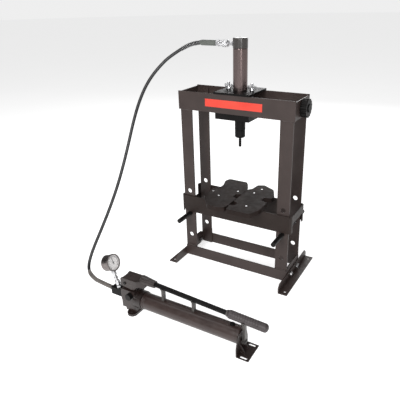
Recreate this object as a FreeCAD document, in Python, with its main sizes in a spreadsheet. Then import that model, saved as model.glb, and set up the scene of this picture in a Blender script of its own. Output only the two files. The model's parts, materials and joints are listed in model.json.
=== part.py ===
import FreeCAD, Part
import math
import os
import re
import Sketcher

# Bench hydraulic press with a remote hand pump. Millimetres, +Z up.
# The origin is on the bench, midway between the four uprights; -Y is the front, +X the right side.

os.makedirs("parts", exist_ok=True)
doc = FreeCAD.newDocument("ShopPress")
V = FreeCAD.Vector

DIMENSIONS = {
    "frame_width": 500, "post_width": 54, "post_thick": 6, "post_depth": 144, "post_top": 772,
    "plate_thick": 5, "base_gap": 5, "rail_height": 50,
    "hole_radius": 10.5, "hole_first": 114, "hole_pitch": 110,
    "head_top": 780, "head_height": 76, "head_overhang": 6,
    "side_top": 66, "foot_length": 332, "foot_leg": 40, "foot_thick": 5, "foot_chamfer": 14, "foot_hole_radius": 5.5,
    "foot_hole_spacing": 292, "foot_bolt_spacing": 76, "foot_bolt_height": 24, "foot_bolt_radius": 6,
    "pin_radius": 10, "pin_front": 170, "pin_length": 350,
    "bed_height": 78, "bed_gap": 0.5, "bed_end_gap": 7, "bed_bend": 11, "bed_window": 41, "bed_tie": 28,
    "arbor_thick": 20,
    "carriage_x": -8, "top_plate_width": 158, "top_plate_depth": 160, "top_plate_thick": 8,
    "low_plate_width": 150, "low_plate_depth": 152, "low_plate_thick": 24, "slide_gap": 0.1,
    "stud_radius": 6, "stud_offset": 52, "stud_top": 818,
    "barrel_radius": 29, "bore_radius": 22, "barrel_top": 950, "cap_top": 990, "cap_radius": 29.5,
    "gland_radius": 22, "gland_bottom": 625, "rod_radius": 15, "running_gap": 0.05,
    "ram_head_length": 32, "ram_tip_radius": 6, "ram_tip_length": 41, "piston_top": 940, "piston_length": 30,
    "port_height": 965, "nipple_radius": 6, "coupler_start": 58, "coupler_end": 112, "coupler_radius": 10.5,
    "ring_radius": 14, "ferrule_end": 188, "ferrule_radius": 11, "guard_radius": 9.5, "hose_radius": 6.5,
    "pump_y": -525, "tank_height": 63, "tank_radius": 32, "tank_start": -150, "tank_end": 262,
    "pump_head_left": -240, "pump_head_right": -176, "pump_head_top": 107, "pump_head_width": 60,
    "pump_flange_radius": 36, "lever_pivot_x": -222, "lever_pivot_z": 134, "lever_width": 52, "lever_wall": 7, "lever_arm": 32, "lever_rest_angle": 30,
    "handle_radius": 9, "grip_radius": 15.5, "pump_plunger_radius": 8,
    "gauge_lean": 19, "gauge_reach": 106, "gauge_radius": 34, "gauge_front": 22, "gauge_depth": 40,
    "stem_foot": -276, "block_height": 68,
    "knob_radius": 36, "knob_thick": 25,
}

dims = doc.addObject("Spreadsheet::Sheet", "Dims")
for row, (alias, value) in enumerate(DIMENSIONS.items(), start=1):
    dims.set(f"A{row}", alias)
    dims.set(f"B{row}", str(value))
    dims.setAlias(f"B{row}", alias)
doc.recompute()


def size(alias):
    """The sheet's value of one driving dimension."""
    return float(dims.get(alias))


def bound(text):
    """An expression in plain alias names, rewritten to read the sheet."""
    return re.sub(r"\b([a-z]+(?:_[a-z]+)+)\b", r"Dims.\1", str(text))


def place(obj, corner, rotation=None):
    """Puts an object at a point given as three expressions."""
    obj.Placement = FreeCAD.Placement(V(0, 0, 0), rotation or FreeCAD.Rotation())
    for axis, text in zip("xyz", corner):
        obj.setExpression(f"Placement.Base.{axis}", bound(text))
    return obj


def box(name, corner, lengths):
    obj = doc.addObject("Part::Box", name)
    for prop, text in zip(("Length", "Width", "Height"), lengths):
        obj.setExpression(prop, bound(text))
    return place(obj, corner)


TURNS = {
    "Z": FreeCAD.Rotation(), "-Z": FreeCAD.Rotation(V(1, 0, 0), 180),
    "X": FreeCAD.Rotation(V(0, 1, 0), 90), "-X": FreeCAD.Rotation(V(0, 1, 0), -90),
    "Y": FreeCAD.Rotation(V(1, 0, 0), -90), "-Y": FreeCAD.Rotation(V(1, 0, 0), 90),
}


def rod(name, start, radius, length, along="Z"):
    """A cylinder from a point along a named direction or turned by a rotation."""
    obj = doc.addObject("Part::Cylinder", name)
    obj.setExpression("Radius", bound(radius))
    obj.setExpression("Height", bound(length))
    return place(obj, start, TURNS[along] if isinstance(along, str) else along)


def cone(name, start, radius, end_radius, length, along="Z"):
    obj = doc.addObject("Part::Cone", name)
    obj.setExpression("Radius1", bound(radius))
    obj.setExpression("Radius2", bound(end_radius))
    obj.setExpression("Height", bound(length))
    return place(obj, start, TURNS[along] if isinstance(along, str) else along)


def hexagon(name, start, across, length, along="Z"):
    obj = doc.addObject("Part::Prism", name)
    obj.Polygon = 6
    obj.setExpression("Circumradius", bound(f"({across}) / 1.732"))
    obj.setExpression("Height", bound(length))
    return place(obj, start, TURNS[along] if isinstance(along, str) else along)


def cut(name, base, tools):
    for number, tool in enumerate(tools):
        obj = doc.addObject("Part::Cut", name if number == len(tools) - 1 else f"{name}_step{number}")
        obj.Base = base
        obj.Tool = tool
        base = obj
    return base


def join(name, shapes):
    obj = doc.addObject("Part::MultiFuse", name)
    obj.Shapes = shapes
    obj.Refine = True
    return obj


def group(name, shapes):
    obj = doc.addObject("Part::Compound", name)
    obj.Links = shapes
    return obj


def chamfered(name, base, edges_at, width):
    """Chamfers the circular edges of a solid whose centre lies at one of the given heights along Z."""
    doc.recompute()
    obj = doc.addObject("Part::Chamfer", name)
    obj.Base = base
    picked = []
    for number, edge in enumerate(base.Shape.Edges, start=1):
        middle = edge.BoundBox.Center
        flat = edge.BoundBox.ZLength < 0.001
        if flat and any(abs(middle.z - level) < 0.01 for level in edges_at):
            picked.append((number, width, width))
    obj.Edges = picked
    return obj


PLANES = {"XY": "XY_Plane", "XZ": "XZ_Plane", "YZ": "YZ_Plane"}


def outline_edges(points, radii):
    """Lines and tangent arcs of a closed outline; radii maps a corner's number to its radius."""
    count = len(points)
    arcs, ends = [], []
    for i in range(count):
        here = V(*points[i], 0)
        back = (V(*points[i - 1], 0) - here).normalize()
        ahead = (V(*points[(i + 1) % count], 0) - here).normalize()
        radius = radii.get(i, 0)
        if not radius:
            ends.append((here, here))
            arcs.append(None)
            continue
        half = math.acos(max(-1, min(1, back.dot(ahead)))) / 2
        reach = radius / math.tan(half)
        first, last = here + back * reach, here + ahead * reach
        centre = here + (back + ahead).normalize() * (radius / math.sin(half))
        middle = centre + (here - centre).normalize() * radius
        arcs.append(Part.Arc(first, middle, last))
        ends.append((first, last))
    edges = []
    for i in range(count):
        if arcs[i]:
            edges.append(arcs[i])
        start, finish = ends[i][1], ends[(i + 1) % count][0]
        if (finish - start).Length > 0.001:
            edges.append(Part.LineSegment(start, finish))
    return edges


def pad(name, plane, points, thickness, base, radii=None, holes=()):
    """A body padded from a closed outline with round holes, on one origin plane, moved to base."""
    body = doc.addObject("PartDesign::Body", name)
    sketch = body.newObject("Sketcher::SketchObject", f"{name}_outline")
    feature = next(f for f in body.Origin.OriginFeatures if f.Role == PLANES[plane])
    sketch.AttachmentSupport = [(feature, "")]
    sketch.MapMode = "FlatFace"
    sketch.addGeometry(outline_edges(points, radii or {}), False)
    for x, y, radius in holes:
        sketch.addGeometry(Part.Circle(V(x, y, 0), V(0, 0, 1), radius), False)
    solid = body.newObject("PartDesign::Pad", f"{name}_pad")
    solid.Profile = sketch
    solid.setExpression("Length", bound(thickness))
    body.Tip = solid
    return place(body, base)


def route_wire(points):
    """Straight runs joined by tangent arcs through a route; also returns the arcs' radii."""
    corners = [V(*point) for point in points]
    edges, radii, start = [], [], corners[0]
    for i in range(1, len(corners) - 1):
        back = corners[i - 1] - corners[i]
        ahead = corners[i + 1] - corners[i]
        reach = 0.45 * min(back.Length, ahead.Length)
        turn = math.pi - back.getAngle(ahead)
        radius = reach / math.tan(turn / 2)
        first = corners[i] + back.normalize() * reach
        last = corners[i] + ahead.normalize() * reach
        bisector = (back + ahead).normalize()
        middle = corners[i] + bisector * (radius / math.cos(turn / 2) - radius)
        edges.append(Part.LineSegment(start, first).toShape())
        edges.append(Part.Arc(first, middle, last).toShape())
        radii.append(round(radius))
        start = last
    edges.append(Part.LineSegment(start, corners[-1]).toShape())
    return Part.Wire(edges), radii


def tube(name, points, radius):
    """A round solid along a route, with its volume compared to section times length."""
    wire, radii = route_wire(points)
    start = V(*points[0])
    heading = (V(*points[1]) - start).normalize()
    section = Part.Wire(Part.Circle(start, heading, radius).toShape())
    shape = wire.makePipeShell([section], True, False)
    solid = Part.Solid(shape) if shape.ShapeType == "Shell" else shape
    ideal = math.pi * radius ** 2 * wire.Length
    print(f"{name}: length {wire.Length:.1f}, arc radii {radii}, volume ratio {solid.Volume / ideal:.4f}")
    obj = doc.addObject("Part::Feature", name)
    obj.Shape = solid
    return obj


half_width = "frame_width / 2"
outer_y = "post_depth / 2"
skin_y = "(post_depth / 2 + plate_thick)"


def upright(name, side, row):
    """A flat bar with three cross holes near the foot; side is -1 left, 1 right; row is -1 front, 1 rear."""
    left = f"-{half_width}" if side < 0 else f"{half_width} - post_width"
    front = f"-{outer_y}" if row < 0 else f"{outer_y} - post_thick"
    bar = box(f"{name}_bar", (left, front, "base_gap"), ("post_width", "post_thick", "post_top - base_gap"))
    holes = []
    for level in range(3):
        centre = (f"{side} * ({half_width} - post_width / 2)", f"{front} - 1",
                  f"hole_first + {level} * hole_pitch")
        holes.append(rod(f"{name}_hole{level}", centre, "hole_radius", "post_thick + 2", "Y"))
    return cut(name, bar, holes)


for side, side_name in ((-1, "left"), (1, "right")):
    for row, row_name in ((-1, "front"), (1, "rear")):
        upright(f"upright_{row_name}_{side_name}", side, row)


def long_plate(name, row, length, low, height, gap="0"):
    """A plate lying against the outer faces of the front or rear uprights."""
    front = f"-{skin_y} - {gap}" if row < 0 else f"{outer_y} + {gap}"
    return box(name, (f"-({length}) / 2", front, low), (length, "plate_thick", height))


head_length = "(frame_width + 2 * head_overhang)"
head_low = "(head_top - head_height)"
for row, row_name in ((-1, "front"), (1, "rear")):
    long_plate(f"head_{row_name}_plate", row, head_length, head_low, "head_height")
    long_plate(f"base_{row_name}_rail", row, "frame_width", "base_gap", "rail_height")

# End plates close the head between its long plates; the right one has a hole for the knob's stud.
box("head_left_plate", (f"-{half_width} - head_overhang", f"-{outer_y}", f"{head_low} + 2"),
    ("head_overhang", "post_depth", "head_height - 6"))
knob_z = "(head_top - head_height / 2)"
head_right = box("head_right_blank", (half_width, f"-{outer_y}", f"{head_low} + 2"),
                 ("head_overhang", "post_depth", "head_height - 6"))
cut("head_right_plate", head_right,
    [rod("knob_hole", (f"{half_width} - 1", "0", knob_z), "stud_radius + running_gap", "head_overhang + 2", "X")])

# The ribbed knob on the right end: a fluted disc with its own threaded stud.
knob_face = f"{half_width} + head_overhang + 0.3"
knob_disc = rod("knob_disc", (knob_face, "0", knob_z), "knob_radius", "knob_thick", "X")
knob_hub = rod("knob_hub", (f"{knob_face} + knob_thick", "0", knob_z), "knob_radius * 0.45", "4", "X")
knob_stud = rod("knob_stud", (f"{half_width} - 18", "0", knob_z), "stud_radius", "26", "X")
knob_body = join("knob_body", [knob_disc, knob_hub, knob_stud])
flutes = []
for number in range(14):
    angle = math.radians(360 / 14 * number)
    flutes.append(rod(f"knob_flute{number}",
                      (f"{knob_face} - 1", f"{math.cos(angle):.5f} * (knob_radius + 2.5)",
                       f"{knob_z} + {math.sin(angle):.5f} * (knob_radius + 2.5)"),
                      "5.5", "knob_thick + 2", "X"))
cut("end_knob", knob_body, flutes)

# Side plates between the front and rear uprights, bolted to the foot angles outside them.
side_reach = size("post_depth") / 2 - size("post_thick")
bolt_y = size("foot_bolt_spacing") / 2
bolt_z = size("foot_bolt_height")
bolt_hole = size("foot_bolt_radius") + 0.5
side_low = size("base_gap")
side_outline = [(-side_reach, side_low), (side_reach, side_low),
                (side_reach, size("side_top")), (-side_reach, size("side_top"))]
for side, side_name in ((-1, "left"), (1, "right")):
    left = f"-{half_width}" if side < 0 else f"{half_width} - plate_thick"
    pad(f"side_plate_{side_name}", "YZ", side_outline, "plate_thick", (left, "0", "0"), {2: 24, 3: 24},
        [(-bolt_y, bolt_z, bolt_hole), (bolt_y, bolt_z, bolt_hole)])


def foot(name, side):
    """An angle iron under one side, its flat leg outward with a hole near each end."""
    wall_x = half_width if side > 0 else f"-{half_width} - foot_thick"
    flat_x = half_width if side > 0 else f"-{half_width} - foot_leg"
    wall = box(f"{name}_wall", (wall_x, "-foot_length / 2", "0"), ("foot_thick", "foot_length", "foot_leg"))
    flat = box(f"{name}_flat", (flat_x, "-foot_length / 2", "0"), ("foot_leg", "foot_length", "foot_thick"))
    angle = join(f"{name}_angle", [wall, flat])
    tools = []
    for end in (-1, 1):
        tools.append(rod(f"{name}_hole{end + 1}",
                         (f"{side} * ({half_width} + foot_leg * 0.6)", f"{end} * foot_hole_spacing / 2", "-1"),
                         "foot_hole_radius", "foot_thick + 2"))
        tools.append(rod(f"{name}_bolt_hole{end + 1}",
                         (f"{wall_x} - 1", f"{end} * foot_bolt_spacing / 2", "foot_bolt_height"),
                         "foot_bolt_radius + 0.5", "foot_thick + 2", "X"))
        corner = box(f"{name}_corner{end + 1}", ("0", "0", "0"), ("foot_thick + 2", "24", "24"))
        place(corner, (f"{wall_x} - 1", f"{end} * foot_length / 2", "foot_leg - foot_chamfer"),
              FreeCAD.Rotation(V(1, 0, 0), 45))
        tools.append(corner)
    return cut(name, angle, tools)


foot("foot_angle_right", 1)
foot("foot_angle_left", -1)

# Bolt, washers and nut that hold each foot angle to its side plate, two on each side.
fasteners = []
for side in (-1, 1):
    for end in (-1, 1):
        tag = f"foot_bolt{side + 1}{end + 1}"
        y = f"{end} * foot_bolt_spacing / 2"
        outer = f"{side} * ({half_width} + foot_thick)"
        inner = f"{side} * ({half_width} - plate_thick)"
        outward, inward = ("X", "-X") if side > 0 else ("-X", "X")
        shank = rod(f"{tag}_shank", (outer, y, "foot_bolt_height"), "foot_bolt_radius",
                    "foot_thick + plate_thick + 13", inward)
        washer = rod(f"{tag}_washer", (outer, y, "foot_bolt_height"), "foot_bolt_radius * 2", "2.5", outward)
        head = hexagon(f"{tag}_head", (f"{outer} + {side} * 2.5", y, "foot_bolt_height"), "19", "7.5", outward)
        nut = hexagon(f"{tag}_nut", (inner, y, "foot_bolt_height"), "19", "10", inward)
        fasteners.append(join(tag, [shank, washer, head, nut]))
group("foot_bolts", fasteners)

# Bed: front and rear plates outside the uprights, closed by a bent strap round each end.
bed_low = "(hole_first + hole_pitch + pin_radius + running_gap)"
bed_z = size("hole_first") + size("hole_pitch") + size("pin_radius") + size("running_gap")
strap_x = size("frame_width") / 2 + 1
bed_height = size("bed_height")
corner_cut = 12
bed_outline = [(-strap_x + corner_cut, 0), (strap_x, 0), (strap_x, bed_height), (-strap_x, bed_height),
               (-strap_x, corner_cut)]
for row, row_name in ((-1, "front"), (1, "rear")):
    plate = pad(f"bed_{row_name}_plate", "XZ", bed_outline, "plate_thick",
                ("0", f"-{outer_y} - bed_gap" if row < 0 else f"{skin_y} + bed_gap", bed_low))

bed_skin = size("post_depth") / 2 + size("plate_thick") + size("bed_gap")
bed_inner = bed_skin - size("plate_thick")
bend = size("bed_bend")
wall = size("plate_thick")


def bed_end(name, side, window_low, window_height):
    """A strap bent round one end of the bed, with a window cut in its end wall."""
    far = strap_x + bend
    points = [(strap_x, -bed_skin), (far, -bed_skin), (far, bed_skin), (strap_x, bed_skin),
              (strap_x, bed_inner), (far - wall, bed_inner), (far - wall, -bed_inner), (strap_x, -bed_inner)]
    radii = {1: bend, 2: bend, 5: bend - wall, 6: bend - wall}
    if side < 0:
        points = [(-x, y) for x, y in reversed(points)]
        radii = {7 - number: radius for number, radius in radii.items()}
    strap = pad(f"{name}_strap", "XY", points, "bed_height", ("0", "0", bed_low), radii)
    start = "frame_width / 2 + 2" if side > 0 else "-frame_width / 2 - 2 - 20"
    window = box(f"{name}_window", (start, "-58", f"{bed_low} + {window_low}"), ("20", "116", window_height))
    return cut(name, strap, [window])


bed_end("bed_right_end", 1, "-1", "bed_window + 1")
bed_end("bed_left_end", -1, "bed_tie", "bed_height - bed_tie + 1")

for side, side_name in ((-1, "left"), (1, "right")):
    start = (f"{side} * ({half_width} - post_width / 2)", "-pin_front", "hole_first + hole_pitch")
    bar = rod(f"pin_{side_name}_bar", start, "pin_radius", "pin_length", "Y")
    doc.recompute()
    ends = doc.addObject("Part::Chamfer", f"support_pin_{side_name}")
    ends.Base = bar
    ends.Edges = [(number, 2, 2) for number, edge in enumerate(bar.Shape.Edges, start=1)
                  if edge.BoundBox.YLength < 0.001]

# Arbor plates: two thick loose blocks across the bed, each with cut corners and notches of several sizes.
arbor_low = f"{bed_low} + bed_height + running_gap"
LEFT_ARBOR = [(-6, -152), (-1, -120), (-1, -46), (-24, -38), (-24, -8), (-1, 0), (-1, 66), (-19, 84), (-22, 112),
              (-40, 138), (-132, 140), (-140, 110), (-124, 62), (-124, 34), (-145, 16), (-146, -74), (-86, -156),
              (-36, -164)]
RIGHT_ARBOR = [(8, -160), (1, -118), (24, -110), (24, -84), (1, -76), (1, 62), (15, 80), (20, 128), (48, 142),
               (106, 110), (136, 46), (134, 20), (102, 12), (102, -16), (134, -26), (134, -112), (112, -162)]
pad("arbor_plate_left", "XY", LEFT_ARBOR, "arbor_thick", ("0", "0", arbor_low),
    {0: 4, 3: 11, 4: 11, 6: 8, 7: 7, 8: 10, 9: 10, 10: 14, 11: 14, 12: 16, 13: 16, 14: 12, 15: 26, 16: 26, 17: 8},
    [(-85, -53, 5), (-132, -20, 5), (-30, 25, 5)])
pad("arbor_plate_right", "XY", RIGHT_ARBOR, "arbor_thick", ("0", "0", arbor_low),
    {0: 4, 2: 8, 3: 8, 5: 8, 6: 8, 7: 12, 8: 12, 9: 24, 10: 24, 11: 6, 12: 9, 13: 9, 14: 8, 15: 16, 16: 16},
    [(56, 94, 5), (42, 42, 5), (70, -96, 5)])

# Carriage that carries the cylinder along the head.
axis_x = "carriage_x"
top_low = "(head_top + slide_gap)"
low_top = f"({head_low} - slide_gap)"
top_blank = box("top_plate_blank", (f"{axis_x} - top_plate_width / 2", "-top_plate_depth / 2", top_low),
                ("top_plate_width", "top_plate_depth", "top_plate_thick"))
low_blank = box("low_plate_blank",
                (f"{axis_x} - low_plate_width / 2", "-low_plate_depth / 2", f"{low_top} - low_plate_thick"),
                ("low_plate_width", "low_plate_depth", "low_plate_thick"))


def carriage_bores(tag, low, thick):
    bores = [rod(f"{tag}_bore", (axis_x, "0", f"{low} - 1"), "barrel_radius", f"{thick} + 2")]
    for side in (-1, 1):
        bores.append(rod(f"{tag}_stud_hole{side + 1}", (f"{axis_x} + {side} * stud_offset", "0", f"{low} - 1"),
                         "stud_radius", f"{thick} + 2"))
    return bores


cut("carriage_top_plate", top_blank, carriage_bores("top_plate", top_low, "top_plate_thick"))
cut("carriage_bottom_plate", low_blank,
    carriage_bores("low_plate", f"({low_top} - low_plate_thick)", "low_plate_thick"))
studs = []
for side in (-1, 1):
    studs.append(rod(f"clamp_stud{side + 1}",
                     (f"{axis_x} + {side} * stud_offset", "0", f"{low_top} - low_plate_thick"),
                     "stud_radius", f"stud_top - ({low_top} - low_plate_thick)"))
group("clamp_studs", studs)

nut_low = f"({top_low} + top_plate_thick + 0.3)"
for side, side_name in ((-1, "left"), (1, "right")):
    x = f"{axis_x} + {side} * stud_offset"
    wings = [cone(f"wing_boss_{side_name}", (x, "0", nut_low), "9.5", "7.6", "12")]
    for reach in (-1, 1):
        wing = box(f"wing_{side_name}{reach + 1}", ("0", "0", "0"), ("9", "4", "15"))
        place(wing, (f"{x} + {reach} * 11 - 4.5", "-2", f"{nut_low} + 7"), FreeCAD.Rotation(V(0, 1, 0), reach * 15))
        wings.append(wing)
    solid = join(f"wing_solid_{side_name}", wings)
    bore = rod(f"wing_bore_{side_name}", (x, "0", f"{nut_low} - 1"), "stud_radius + running_gap", "50")
    cut(f"wing_nut_{side_name}", solid, [bore])

# Cylinder: hollow barrel held in both plates, cap with the oil port, and the gland the rod runs in.
barrel_low = f"({low_top} - low_plate_thick)"
barrel_solid = rod("barrel_solid", (axis_x, "0", barrel_low), "barrel_radius", f"barrel_top - {barrel_low}")
barrel_bore = rod("barrel_bore", (axis_x, "0", f"{barrel_low} + 16"), "bore_radius",
                  f"barrel_top - {barrel_low} - 16 - 8")
barrel_rod_hole = rod("barrel_rod_hole", (axis_x, "0", f"{barrel_low} - 1"), "rod_radius + running_gap", "20")
cut("cylinder_barrel", barrel_solid, [barrel_bore, barrel_rod_hole])
cap_blank = rod("cap_blank", (axis_x, "0", "barrel_top"), "cap_radius", "cap_top - barrel_top")
chamfered("cylinder_cap", cap_blank, [size("cap_top")], 2.5)
gland_solid = rod("gland_solid", (axis_x, "0", "gland_bottom"), "gland_radius", f"{barrel_low} - gland_bottom")
gland_hole = rod("gland_hole", (axis_x, "0", "gland_bottom - 1"), "rod_radius + running_gap", "80")
cut("cylinder_gland", gland_solid, [gland_hole])

# Ram: piston and rod, the head under the gland, and the pressing tip.
piston = rod("piston", (axis_x, "0", "piston_top - piston_length"), "bore_radius - running_gap", "piston_length")
piston_rod = rod("piston_rod", (axis_x, "0", "gland_bottom - 0.3"), "rod_radius",
                 "piston_top - gland_bottom - 5")
join("ram_plunger", [piston, piston_rod])
head_low_z = "(gland_bottom - 0.3 - ram_head_length)"
head_blank = rod("ram_head_blank", (axis_x, "0", head_low_z), "gland_radius - 0.5", "ram_head_length")
ram_head_z = size("gland_bottom") - 0.3 - size("ram_head_length")
chamfered("ram_head", head_blank, [ram_head_z], 4)
tip_blank = rod("ram_tip_blank", (axis_x, "0", f"{head_low_z} - ram_tip_length"), "ram_tip_radius",
                "ram_tip_length")
chamfered("ram_tip", tip_blank, [ram_head_z - size("ram_tip_length")], 1)

# The return spring round the rod, as the plain sleeve that its coils fill.
spring_low = f"({barrel_low} + 16.5)"
spring_high = "(piston_top - piston_length - 0.5)"
spring_mean = "(rod_radius + bore_radius) / 2"
spring_sleeve = rod("spring_sleeve", (axis_x, "0", spring_low), f"{spring_mean} + 1.5",
                    f"{spring_high} - {spring_low}")
spring_hollow = rod("spring_hollow", (axis_x, "0", f"{spring_low} - 1"), f"{spring_mean} - 1.5", "300")
cut("return_spring", spring_sleeve, [spring_hollow])

# Oil port, coupler and the upper hose end.
port = "port_height"
cap_side = "(carriage_x - cap_radius)"
join("port_nipple", [
    rod("nipple_tube", (f"{cap_side} + 0.6", "0", port), "nipple_radius", f"{cap_side} + 0.6 + coupler_start", "-X"),
    hexagon("nipple_hex", (f"{cap_side} - 4", "0", port), "17", "9", "-X")])
coupler_length = "(coupler_end - coupler_start)"
coupler_rod = rod("coupler_rod", ("-coupler_start", "0", port), "coupler_radius", coupler_length, "-X")
coupler_hex = hexagon("coupler_hex", ("-coupler_end + 14", "0", port), "25", "14", "-X")
join("coupler_body", [coupler_rod, coupler_hex])
ring_solid = rod("ring_solid", ("-coupler_start - 2", "0", port), "ring_radius", "26", "-X")
cut("coupler_ring", ring_solid,
    [rod("ring_bore", ("-coupler_start", "0", port), "coupler_radius + running_gap", "40", "-X")])
ferrule_base = rod("ferrule_base", ("-coupler_end", "0", port), "ferrule_radius - 1.5",
                   "ferrule_end - coupler_end", "-X")
ferrule_body = rod("ferrule_body", ("-coupler_end - 4", "0", port), "ferrule_radius",
                   "ferrule_end - coupler_end - 12", "-X")
join("hose_ferrule_top", [ferrule_base, ferrule_body])

port_z = size("port_height")
GUARD_ROUTE = [(-size("ferrule_end"), 0, port_z), (-214, 0, 961.5), (-243, -3.5, 954), (-272, -13, 938)]
tube("hose_guard_top", GUARD_ROUTE, size("guard_radius"))

HOSE_ROUTE = [
    (-272.8, -13.3, 937.5), (-320, -33, 908), (-355, -60, 869), (-380, -89, 829), (-397, -120, 783),
    (-407, -153, 727), (-411, -190, 661), (-413, -231, 577), (-418, -270, 494), (-427, -311, 408),
    (-442, -357, 319), (-458, -402, 240), (-469, -440, 181), (-473, -470, 137), (-464, -499, 103),
    (-434, -519, 83), (-396, -525, 77),
]
SLEEVE_ROUTE = [(-396, -525, 77), (-350, -525.5, 71.5), (-306, -525, 68)]
tube("hose", HOSE_ROUTE, size("hose_radius"))
tube("hose_sleeve_bottom", SLEEVE_ROUTE, 8.5)

# Hand pump: head casting with the foot, the tank flange and two ears inside the lever's hood.
head_x, head_w = "pump_head_left", "pump_head_width"
casting = box("pump_casting", (head_x, f"pump_y - {head_w} / 2", "26"),
              (f"pump_head_right - {head_x}", head_w, "pump_head_top - 26"))
nose = box("pump_nose", (f"{head_x} - 12", "pump_y - 20", "46"), ("14", "40", "44"))
leg = box("pump_leg", (f"{head_x} + 10", "pump_y - 22", "8"), (f"pump_head_right - {head_x} - 14", "44", "22"))
flange = rod("pump_flange", ("pump_head_right - 8", "pump_y", "tank_height"), "pump_flange_radius",
             "tank_start - pump_head_right + 8", "X")
foot_y = 44
foot_plate = pad("pump_foot_plate", "XY", [(-219, -foot_y), (-177, -foot_y), (-177, foot_y), (-219, foot_y)],
                 "10", ("0", "pump_y", "0"), {0: 20.9, 1: 20.9, 2: 20.9, 3: 20.9},
                 [(-198, -foot_y + 13, 4.5), (-198, foot_y - 13, 4.5)])
pivot_x, pivot_z = size("lever_pivot_x"), size("lever_pivot_z")
ear_outline = [(pivot_x - 17, 98), (pivot_x + 17, 98), (pivot_x + 13, pivot_z - 14), (pivot_x + 13, pivot_z + 13),
               (pivot_x - 13, pivot_z + 13), (pivot_x - 13, pivot_z - 14)]
ears = []
for number, start in enumerate(("pump_y - 10.5", "pump_y + 17.5")):
    ears.append(pad(f"pump_ear{number}", "XZ", ear_outline, "7", ("0", start, "0"), {3: 12.9, 4: 12.9}))
pump_solid = join("pump_solid", [casting, nose, leg, flange, foot_plate] + ears)
arm = size("lever_arm")
rest = math.radians(size("lever_rest_angle"))
plunger_x = pivot_x + arm * math.cos(rest)
plunger_z = pivot_z - arm * math.sin(rest)
pump_tools = [
    rod("pivot_bore", ("lever_pivot_x", "pump_y - 40", "lever_pivot_z"), "6", "80", "Y"),
    rod("plunger_bore", (f"{plunger_x:.3f}", "pump_y", "30"), "pump_plunger_radius + running_gap", "120"),
]
pump_bored = cut("pump_bored", pump_solid, pump_tools)
rod("lever_pivot_pin", ("lever_pivot_x", "pump_y - lever_width / 2 - 3", "lever_pivot_z"), "6",
    "lever_width + 6", "Y")

shaft = rod("plunger_shaft", (f"{plunger_x:.3f}", "pump_y", "45"), "pump_plunger_radius",
            f"{plunger_z - 45 - 8:.3f}")
eye = box("plunger_eye", (f"{plunger_x:.3f} - 13", "pump_y - 6", f"{plunger_z - 8.5:.3f}"), ("27", "12", "17"))
slot_middle = box("plunger_slot", (f"{plunger_x:.3f} - 4", "pump_y - 7", f"{plunger_z - 4.6:.3f}"), ("9", "14", "9.2"))
slot_ends = [rod(f"slot_end{number}", (f"{plunger_x:.3f} + {reach}", "pump_y - 7", f"{plunger_z:.3f}"), "4.6", "14", "Y")
             for number, reach in enumerate((-4, 5))]
plunger_solid = join("plunger_solid", [shaft, eye])
cut("pump_plunger", plunger_solid, [join("plunger_slot_shape", [slot_middle] + slot_ends)])

# Lever: a hood over the ears, pivoted on the pin, with a round socket that holds the handle tube.
handle_start = V(-150, size("pump_y"), 156.5)
handle_end = V(361, size("pump_y"), 127)
slope = math.degrees(math.atan2(handle_start.z - handle_end.z, handle_end.x - handle_start.x))
handle_turn = FreeCAD.Rotation(V(0, 1, 0), 90 + slope)
hood_top = pivot_z + 21
cheek_outline = [(pivot_x - 20, pivot_z - 14), (plunger_x + 14, plunger_z - 4), (-164, 131), (-164, hood_top),
                 (pivot_x - 20, hood_top)]
cheeks = []
for number, start in enumerate(("pump_y - lever_width / 2 + lever_wall", "pump_y + lever_width / 2")):
    cheeks.append(pad(f"lever_cheek{number}", "XZ", cheek_outline, "lever_wall", ("0", start, "0"), {0: 13, 4: 8}))
hood = box("lever_hood", (f"{pivot_x - 12}", "pump_y - lever_width / 2", f"{hood_top} - lever_wall"),
           (f"{-164 - pivot_x + 12}", "lever_width", "lever_wall"))
hood_side = size("lever_width") / 2
nose_outline = [(-164, -hood_side), (-142, -15), (-136, -15), (-136, 15), (-142, 15), (-164, hood_side)]
nose_block = pad("lever_nose", "XY", nose_outline, f"{hood_top + 2 - 131}", ("0", "pump_y", "131"), {1: 12, 4: 12})
socket = doc.addObject("Part::Cone", "lever_socket")
socket.Radius1 = 18.5
socket.Radius2 = 13.5
socket.Height = 60
place(socket, (f"{handle_start.x - 4}", "pump_y", f"{handle_start.z}"), handle_turn)
cross_pin = rod("cross_pin", (f"{plunger_x:.3f}", "pump_y - lever_width / 2", f"{plunger_z:.3f}"), "4",
                "lever_width", "Y")
lever_solid = join("lever_solid", cheeks + [hood, nose_block, socket])
handle_bore = rod("handle_bore", (f"{handle_start.x}", "pump_y", f"{handle_start.z}"), "handle_radius", "90",
                  handle_turn)
lever_bore = rod("lever_bore", ("lever_pivot_x", "pump_y - 40", "lever_pivot_z"), "6 + running_gap", "80", "Y")
lever_cut = cut("lever_cut", lever_solid, [handle_bore, lever_bore])
join("pump_lever", [lever_cut, cross_pin])

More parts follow.
